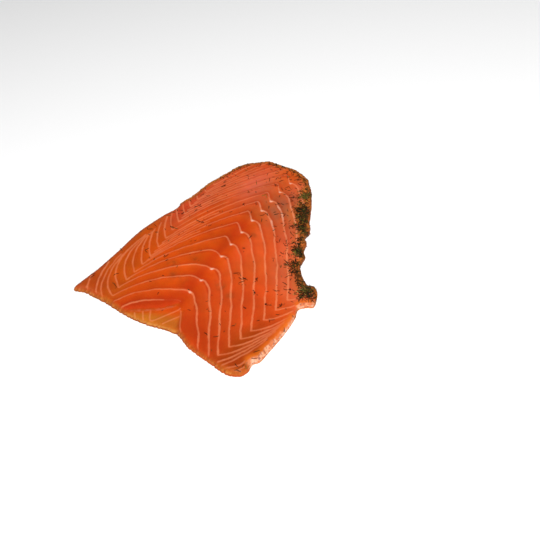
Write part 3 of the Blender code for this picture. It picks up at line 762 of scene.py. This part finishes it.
def build_flesh(outline, rim, cuts, crust_side, crust_inner, material):
    """The flesh: a fine top with its fat lines, the cut side all round and the flat underside."""
    step_run = resampled(np.array(LEDGE_EDGE) + SHIFT, 0.7)
    ragged = 0.5 * noise(step_run, 3.0, 21)
    step_run = step_run + normals_of(step_run, False) * ragged[:, None]
    ledge = np.concatenate([step_run, np.array(LEDGE_SOFT_SIDE + LEDGE_FAR_SIDE) + SHIFT])
    step_run = step_run[inside(step_run, rim) & (distance_to(step_run, rim, True) > 0.5)]
    runs = line_runs(rim, ledge)
    top, faces = top_mesh(rim, runs, step_run)

    samples = np.concatenate([resampled(run, 0.12) for _, run in runs])
    to_line, which = nearest_in(samples[:, :2], top)
    to_line = np.maximum(to_line - 0.04, 0)
    _, nearest_rim = nearest_in(rim, top)
    to_crust, station = nearest_in(crust_side, top)
    near = SimpleNamespace(
        edge=distance_to(top, rim, True),
        step=distance_to(top, step_run),
        ledge=ledge_share(top, ledge),
        front=front_share(top),
        strip=strip_width(top) + 0.6 * noise(top, 2.2, 60),
        torn=torn_share(top, crust_side),
        tip=1 - np.clip(cuts[nearest_rim] / TEETH_DEPTH, 0, 1),
        crust=to_crust,
        crust_inner=crust_inner[station],
    )
    near.silver = near.front * ramp(near.strip - near.edge, -0.5, 0.7)
    strength, white = line_strength(top, near, samples[which, 2])
    width = 0.42 + 0.46 * strength + 0.3 * white
    ridge = RIDGE_HEIGHT * np.clip(1 - to_line / (1.4 * width), 0, 1) ** 1.3 * np.clip(strength, 0, 1)
    height = top_height(top, near, rim, ledge, ridge)

    count = len(outline)
    verts = [(px, py, pz) for (px, py), pz in zip(top, height)]
    colours = [top_colours(top, near, runs)]
    _, previous = nearest_in(top, rim)
    for ring, heights, ring_colours in cut_side(outline, rim, height[previous], cuts, crust_side):
        start = len(verts)
        verts.extend((px, py, pz) for (px, py), pz in zip(ring, heights))
        colours.append(ring_colours)
        for i in range(count):
            j = (i + 1) % count
            faces.append((previous[i], start + i, start + j, previous[j]))
        previous = range(start, start + count)
    loop = [(i, (i + 1) % count) for i in range(count)]
    under, _, under_faces, _, _, _ = delaunay_2d_cdt([tuple(p) for p in outline], loop, [], 1, 1e-5)
    _, under_of = nearest_in(outline, [tuple(p) for p in under])
    faces += [tuple(previous[under_of[corner]] for corner in reversed(face)) for face in under_faces]

    flesh = new_object("salmon_flesh", verts, faces, material)
    no_line = np.zeros(count * SIDE_ROWS)
    add_colours(flesh, "tint", linear(np.concatenate(colours)))
    add_values(flesh, "line", np.concatenate([np.minimum(to_line / width, 3), no_line + 2]))
    add_values(flesh, "strength", np.concatenate([np.clip(strength, 0, 1.2), no_line]))
    add_values(flesh, "hook", np.concatenate([white, no_line]))
    return flesh


def needle(start, heading, pitch, length, radius, bend):
    """A thin curved needle of dill, pointed at both ends, as (verts, faces)."""
    sides, rings = 3, 4
    place = np.array(start, float)
    verts = [place]
    before = 0.0
    for share, wide in zip(np.linspace(0.04, 0.94, rings), np.sin(np.linspace(0.5, 2.5, rings))):
        turn = heading + bend * share
        flat = math.cos(pitch)
        along = np.array([math.cos(turn) * flat, math.sin(turn) * flat, math.sin(pitch)])
        place = place + along * length * (share - before)
        before = share
        across = np.array([-math.sin(turn), math.cos(turn), 0])
        up = np.cross(along, across)
        for side in range(sides):
            angle = 2 * math.pi * side / sides
            verts.append(place + radius * wide * (math.cos(angle) * across + math.sin(angle) * up))
    verts.append(place + along * length * 0.06)
    faces = []
    last = 1 + (rings - 1) * sides
    for side in range(sides):
        other = (side + 1) % sides
        faces.append((0, 1 + other, 1 + side))
        for low in range(1, last, sides):
            faces.append((low + side, low + other, low + sides + other, low + sides + side))
        faces.append((last + side, last + other, len(verts) - 1))
    return verts, faces


class Heap:
    """Many small shapes gathered into one mesh, each with its own colour."""

    def __init__(self):
        self.verts, self.faces, self.colours = [], [], []

    def add(self, shape, colour):
        verts, faces = shape
        first = len(self.verts)
        self.verts.extend(verts)
        self.faces.extend(tuple(first + corner for corner in face) for face in faces)
        self.colours.extend([colour] * len(verts))

    def made(self, name, material):
        heap = new_object(name, self.verts, self.faces, material)
        add_colours(heap, "tint", linear(np.array(self.colours)))
        return heap


def dill_colour(draws, green):
    """One needle's colour: mostly dark, some green or olive, some brown, and a few pale ones as painted
    glints.
    """
    draw = draws.random()
    limits = (green * 0.6, green * 0.7, 0.18 + green * 0.7, 0.8, 1)
    # The pale kind stands for painted glints on the dill
    kinds = (DILL_OLIVE, DILL_PAINTED_GLINT, DILL_GREEN, DILL_DARK, DILL_BROWN)
    base = next(kind for kind, limit in zip(kinds, limits) if draw < limit)
    shade = draws.uniform(0.75, 1.3)
    return tuple(channel * shade for channel in base)


def crust_stations(outline):
    """The stretch of outline that carries the crust and its outward normals."""
    backward = outline[::-1]
    start = int(np.argmin(np.linalg.norm(backward - (np.array(CRUST_START) + SHIFT), axis=1)))
    backward = np.roll(backward, -start, axis=0)
    end = int(np.argmin(np.linalg.norm(backward - (np.array(CRUST_END) + SHIFT), axis=1)))
    path = backward[: end + 1]
    out = -normals_of(path, False)
    for _ in range(20):
        out[1:-1] = 0.5 * out[1:-1] + 0.25 * (out[:-2] + out[2:])
    out /= np.linalg.norm(out, axis=1, keepdims=True)
    return path, out


def crust_extras(path):
    """How much wider the crust is at each station, outside and over the flesh."""
    outer, inner = np.zeros(len(path)), np.zeros(len(path))
    for x, y, reach, more_outside, more_inside in CRUST_CLUMPS:
        swell = np.exp(-((np.linalg.norm(path - (np.array([x, y]) + SHIFT), axis=1) / reach) ** 2))
        outer += more_outside * swell
        inner += more_inside * swell
    return outer, inner


def crust_sizes(path, outer, inner):
    """Width outside, width over the flesh and height of the crust at each station."""
    count = len(path)
    strip = unrolled(count, OUTLINE_STEP)
    y = path[:, 1] - SHIFT[1]
    thin = np.where(y > 40, np.clip((path[:, 0] - 2) / 90, 0, 1), 1)
    taper = np.clip(np.minimum(np.arange(count), np.arange(count)[::-1]) / 24, 0.06, 1)
    width = (0.8 + 0.5 * thin + outer) * taper * (1 + 0.22 * noise(strip, 2.6, 81))
    lap = (0.4 + 0.6 * thin + inner) * taper * (1 + 0.35 * noise(strip, 3.4, 82))
    crown = (0.12 + 0.3 * thin + 0.15 * (outer + inner)) * (1 + 0.4 * noise(strip, 2.1, 85))
    return width, lap, crown


def heaped_share(points):
    """How thickly the dill lies, from 0 to about 1."""
    share = np.zeros(len(points))
    for x, y, reach, count, _ in HEAPS:
        apart = np.linalg.norm(points - (np.array([x, y]) + SHIFT), axis=1)
        share += np.exp(-((apart / (1.5 * reach)) ** 2)) * min(count / (4.5 * reach**2), 1)
    return np.clip(share, 0, 1)


def build_crust(path, out, sizes, rim, ledge):
    """The rough stained band on the rim, without its needles."""
    width, lap, crown = sizes
    count = len(path)
    bands = np.linspace(0, 1, 15)
    under = slab_height(path - out * (SIDE_LEAN + 1.4), rim, ledge)
    crust = Heap()
    for share in bands:
        across = np.clip((share - 0.25) / 0.75, 0, 1)
        reach = width - (width + lap + SIDE_LEAN) * across
        if share <= 0.25:
            level = under * share * 3.6
            reach = width * (0.8 + 0.2 * math.sin(math.pi * share / 0.25))
        else:
            place = path + out * np.minimum(reach, -SIDE_LEAN - 0.3)[:, None]
            level = slab_height(place, rim, ledge) - 0.25 + crown * math.sin(math.pi * across) ** 0.6
        grain = unrolled(count, OUTLINE_STEP, share * 14)
        rough = (0.24 * noise(grain, 1.3, 83) + 0.14 * noise(grain, 0.7, 86)) * (0 < share < 1)
        ring = path + out * (reach + rough * 0.6)[:, None]
        crust.verts.extend((px, py, pz) for (px, py), pz in zip(ring, np.maximum(level + rough, 0)))
        gold = mixed(STAIN, STAIN_GOLD, 0.5 + 0.5 * noise(grain, 2.4, 87))
        dark = 0.05 + 0.34 * heaped_share(ring) ** 2 + 0.34 * noise(grain, 1.5, 84)
        if share < 0.45:
            dark = dark + 0.22 * ramp(-path[:, 1], -50, -30)
        crust.colours.extend(tuple(colour) for colour in mixed(gold, DILL_DARK, np.clip(dark, 0, 0.85)))
    for ring in range(len(bands) - 1):
        for i in range(count - 1):
            a, b = ring * count + i, (ring + 1) * count + i
            crust.faces.append((a, a + 1, b + 1, b))
    return crust


def strew_dill(draws, flesh, rim, path, out, sizes, crust, loose):
    """Needles and sprigs on the crust and on the flesh, heaped where the dill lies thick."""
    width, lap, crown = sizes
    count = len(path)
    upward = [vertex.co for vertex in flesh.data.vertices if vertex.co.z > TOP_FROM * MM]
    surface = tree_of([(place.x / MM, place.y / MM) for place in upward])
    stations = tree_of(path)

    def any_heading():
        return draws.uniform(0, 2 * math.pi)

    def drawn(sizes):
        return [draws.uniform(*limits) for limits in sizes]

    def lay(x, y, heading, length, radius, pitch, colour, pile=0.0):
        """One needle, given to the crust when it starts there. Says whether there was room for it."""
        _, i, apart = stations.find((x, y, 0))
        off = float((np.array([x, y]) - path[i]) @ out[i])
        on_crust = off > -lap[i] - SIDE_LEAN and 4 <= i <= count - 5
        if on_crust and off > width[i] * 0.9:
            x, y = path[i] + out[i] * width[i] * draws.uniform(0.3, 0.95)
            off = width[i] * 0.8
        past_rim = off > -SIDE_LEAN or not inside(np.array([[x, y]]), rim)[0]
        if not on_crust and past_rim and apart < 8:
            return False
        level = upward[surface.find((x, y, 0))[1]].z / MM
        if on_crust:
            across = min(max((width[i] - off) / (width[i] + lap[i] + SIDE_LEAN), 0), 1)
            level = level - 0.1 + crown[i] * math.sin(math.pi * (0.1 + 0.8 * across)) ** 0.6
            if across < 0.15:
                level = draws.uniform(0.4, level)
        bend = draws.uniform(-1.1, 1.1)
        toward = np.array([math.cos(heading + bend / 2), math.sin(heading + bend / 2)])
        if off + length * float(toward @ out[i]) > width[i] + 0.5:
            heading += math.pi
        shape = needle((x, y, level + 0.3 * radius + pile), heading, pitch, length, radius, bend)
        (crust if on_crust else loose).add(shape, colour)
        return True

    for x, y in SPRIG_PLACES:
        heading = any_heading()
        colour = dill_colour(draws, 0.1)
        for _ in range(draws.choice((1, 1, 1, 2))):
            lay(x + SHIFT[0] + draws.uniform(-0.8, 0.8), y + SHIFT[1] + draws.uniform(-0.8, 0.8),
                heading + draws.uniform(-0.9, 0.9), *drawn(SPRIG_SIZES), colour)
    for x, y in CRUMB_PLACES:
        for _ in range(4):
            lay(x + SHIFT[0] + draws.uniform(-0.4, 0.4), y + SHIFT[1] + draws.uniform(-0.4, 0.4),
                any_heading(), draws.uniform(1.0, 1.9), draws.uniform(0.3, 0.4), 0.0, DILL_CRUMB)
    for x, y, reach, needles, green in HEAPS:
        for _ in range(needles):
            apart = draws.gauss(0, reach * 0.72), draws.gauss(0, reach * 0.72)
            pile = draws.uniform(0, 0.5) * math.exp(-((math.hypot(*apart) / reach) ** 2))
            lay(x + SHIFT[0] + apart[0], y + SHIFT[1] + apart[1], any_heading(), *drawn(HEAP_SIZES),
                dill_colour(draws, green), pile)
    laid = 0
    while laid < RIM_NEEDLES:
        i = draws.randrange(4, count - 4)
        if draws.random() > 0.55 + 0.6 * noise(np.array([[i * OUTLINE_STEP, 0.5]]), 4.5, 88)[0]:
            continue
        if path[i][1] < 40 and draws.random() < 0.5:
            continue
        laid += 1
        spot = path[i] + out[i] * (width[i] - (width[i] + lap[i] + SIDE_LEAN) * draws.betavariate(1.5, 1.5))
        heading = math.atan2(out[i][0], -out[i][1]) + draws.gauss(0, 0.7) + math.pi * draws.randrange(2)
        lay(*spot, heading, *drawn(RIM_SIZES), dill_colour(draws, 0.1))
    laid = 0
    while laid < BAND_NEEDLES:
        i = draws.randrange(count)
        apart = SIDE_LEAN + lap[i] + draws.expovariate(1 / 5.5)
        spot = path[i] - out[i] * apart
        if apart > 20 or (spot[1] > 50 and draws.random() < 0.8) or not inside(spot[None], rim)[0]:
            continue
        laid += lay(*spot, any_heading(), *drawn(BAND_SIZES), dill_colour(draws, 0.1))
    laid = 0
    while laid < SCATTERED_NEEDLES:
        x, y = draws.uniform(-94, 94), draws.uniform(-68, 68)
        spot = np.array([[x, y]])
        wanted = 0.6 * math.exp(-stations.find((x, y, 0))[2] / 14) + 0.14
        if draws.random() > wanted or not inside(spot, rim)[0] or distance_to(spot, rim, True)[0] < 1.0:
            continue
        laid += lay(x, y, any_heading(), *drawn(SCATTERED_SIZES), dill_colour(draws, 0.1))


def keep_within(made, low, high):
    """Pull the few points that stick out back into the solid's box."""
    places = np.empty(len(made.data.vertices) * 3)
    made.data.vertices.foreach_get("co", places)
    places = np.clip(places.reshape(-1, 3), low, high)
    made.data.vertices.foreach_set("co", places.ravel())
    made.data.update()


def new_material(name, finish):
    """A new material whose shader has these values, as (material, tree, shader)."""
    made = bpy.data.materials.new(name)
    made.use_nodes = True
    shader = made.node_tree.nodes["Principled BSDF"]
    for socket, value in finish.items():
        shader.inputs[socket].default_value = value
    return made, made.node_tree, shader


def node_of(tree, kind, values=(), **settings):
    """A new node with these settings and these (socket, value) pairs."""
    node = tree.nodes.new(kind)
    for name, value in settings.items():
        setattr(node, name, value)
    for socket, value in values:
        node.inputs[socket].default_value = value
    return node


def flesh_material():
    """Flesh with the fat lines painted over its tint, a fine grain and a damp surface."""
    made, tree, shader = new_material("salmon_flesh", FLESH_FINISH)
    link = tree.links.new
    tint, line, strength, hook = (
        node_of(tree, "ShaderNodeAttribute", attribute_name=name).outputs
        for name in ("tint", "line", "strength", "hook")
    )
    place = node_of(tree, "ShaderNodeTexCoord").outputs["Object"]

    def grain(scale, detail):
        node = node_of(tree, "ShaderNodeTexNoise", (("Scale", scale), ("Detail", detail)))
        link(place, node.inputs["Vector"])
        return node.outputs["Fac"]

    def maths(operation, *values):
        """A maths node on these values, each a number or another node's output."""
        node = node_of(tree, "ShaderNodeMath", operation=operation)
        for socket, value in zip(node.inputs, values):
            if isinstance(value, float):
                socket.default_value = value
            else:
                link(value, socket)
        return node.outputs[0]

    def painted(colour, share, under):
        node = node_of(tree, "ShaderNodeMix", data_type="RGBA")
        node.inputs["B"].default_value = (*linear(colour), 1)
        link(share, node.inputs["Factor"])
        link(under, node.inputs["A"])
        return node.outputs["Result"]

    wavering = maths("ADD", line["Fac"], maths("MULTIPLY_ADD", grain(700, 3), 0.5, -0.25))
    core = node_of(
        tree, "ShaderNodeMapRange", (("From Min", 0.2), ("From Max", 1.15), ("To Min", 1), ("To Max", 0)),
        interpolation_type="SMOOTHSTEP",
    )
    link(wavering, core.inputs["Value"])
    shown = maths("MULTIPLY", core.outputs[0], strength["Fac"])
    fat = painted(FAT, maths("MULTIPLY", shown, FAT_OPACITY), tint["Color"])
    link(painted(HOOK_WHITE, maths("MULTIPLY", hook["Fac"], shown), fat), shader.inputs["Base Color"])

    bump = node_of(tree, "ShaderNodeBump", (("Strength", 0.25), ("Distance", 0.0003)))
    link(grain(420, 4), bump.inputs["Height"])
    link(bump.outputs["Normal"], shader.inputs["Normal"])
    return made


def dill_material():
    made, tree, shader = new_material("dill", DILL_FINISH)
    tint = node_of(tree, "ShaderNodeAttribute", attribute_name="tint")
    tree.links.new(tint.outputs["Color"], shader.inputs["Base Color"])
    return made


def build_floor():
    corners = [(x * FLOOR_HALF, y * FLOOR_HALF, FLOOR_LEVEL) for x, y in ((-1, -1), (1, -1), (1, 1), (-1, 1))]
    white, _, _ = new_material("floor", FLOOR_FINISH)
    return new_object("floor", corners, [(0, 1, 2, 3)], white, smooth=False)


def area_light(name, place, size, power):
    """A square light that faces the part."""
    data = bpy.data.lights.new(name, "AREA")
    data.shape = "SQUARE"
    data.size = size
    data.energy = power
    made = bpy.data.objects.new(name, data)
    made.location = place
    back = np.array(place) / np.linalg.norm(place)
    side = np.cross((0, 0, 1), back)
    side /= np.linalg.norm(side)
    turn = np.column_stack([side, np.cross(back, side), back])
    made.rotation_euler = Matrix(turn.tolist()).to_euler()
    bpy.context.scene.collection.objects.link(made)


def light_scene():
    world = bpy.data.worlds.new("studio")
    world.use_nodes = True
    background = world.node_tree.nodes["Background"]
    background.inputs["Color"].default_value = (1, 1, 1, 1)
    background.inputs["Strength"].default_value = 0.25
    bpy.context.scene.world = world
    area_light("key", (-0.45, -0.6, 0.95), 0.6, 20.0)
    area_light("fill", (0.9, -0.3, 0.8), 0.9, 3.0)
    bpy.context.scene.view_settings.view_transform = "Standard"


def place_camera():
    data = bpy.data.cameras.new("camera")
    data.sensor_width = 36
    data.lens = LENS_MM
    data.clip_start = 0.01
    camera = bpy.data.objects.new("camera", data)
    turn = Matrix(np.column_stack([CAMERA_RIGHT, CAMERA_UP, CAMERA_BACK]).tolist()).to_4x4()
    camera.matrix_world = Matrix.Translation([c * MM for c in CAMERA_PLACE]) @ turn
    bpy.context.scene.collection.objects.link(camera)
    bpy.context.scene.camera = camera


def main():
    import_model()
    cad_box = [list(corner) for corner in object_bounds()]
    draws = random.Random(11)

    outline = smooth_path(LEFT_AND_FRONT + RIGHT_SIDE + TOP_EDGE, OUTLINE_STEP, True) + SHIFT
    ledge = np.array(LEDGE_EDGE + LEDGE_SOFT_SIDE + LEDGE_FAR_SIDE) + SHIFT
    path, out = crust_stations(outline)
    outer, inner = crust_extras(path)
    outward = normals_of(outline, True)
    cuts = edge_cuts(outline, path)
    outline = outline - outward * cuts[:, None]
    rim = outline - outward * SIDE_LEAN

    flesh = build_flesh(outline, rim, cuts, path, inner, flesh_material())
    green = dill_material()
    sizes = crust_sizes(path, outer, inner)
    crust, loose = build_crust(path, out, sizes, rim, ledge), Heap()
    strew_dill(draws, flesh, rim, path, out, sizes, crust, loose)
    crust = crust.made("dill_crust_needles", green)
    loose = loose.made("loose_dill", green)
    for made in (flesh, crust, loose):
        keep_within(made, *cad_box)

    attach(flesh, "root")
    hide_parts("salmon_slice")
    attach(crust, "root")
    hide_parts("dill_crust")
    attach(loose, "root")

    floor = build_floor()
    light_scene()
    place_camera()


main()
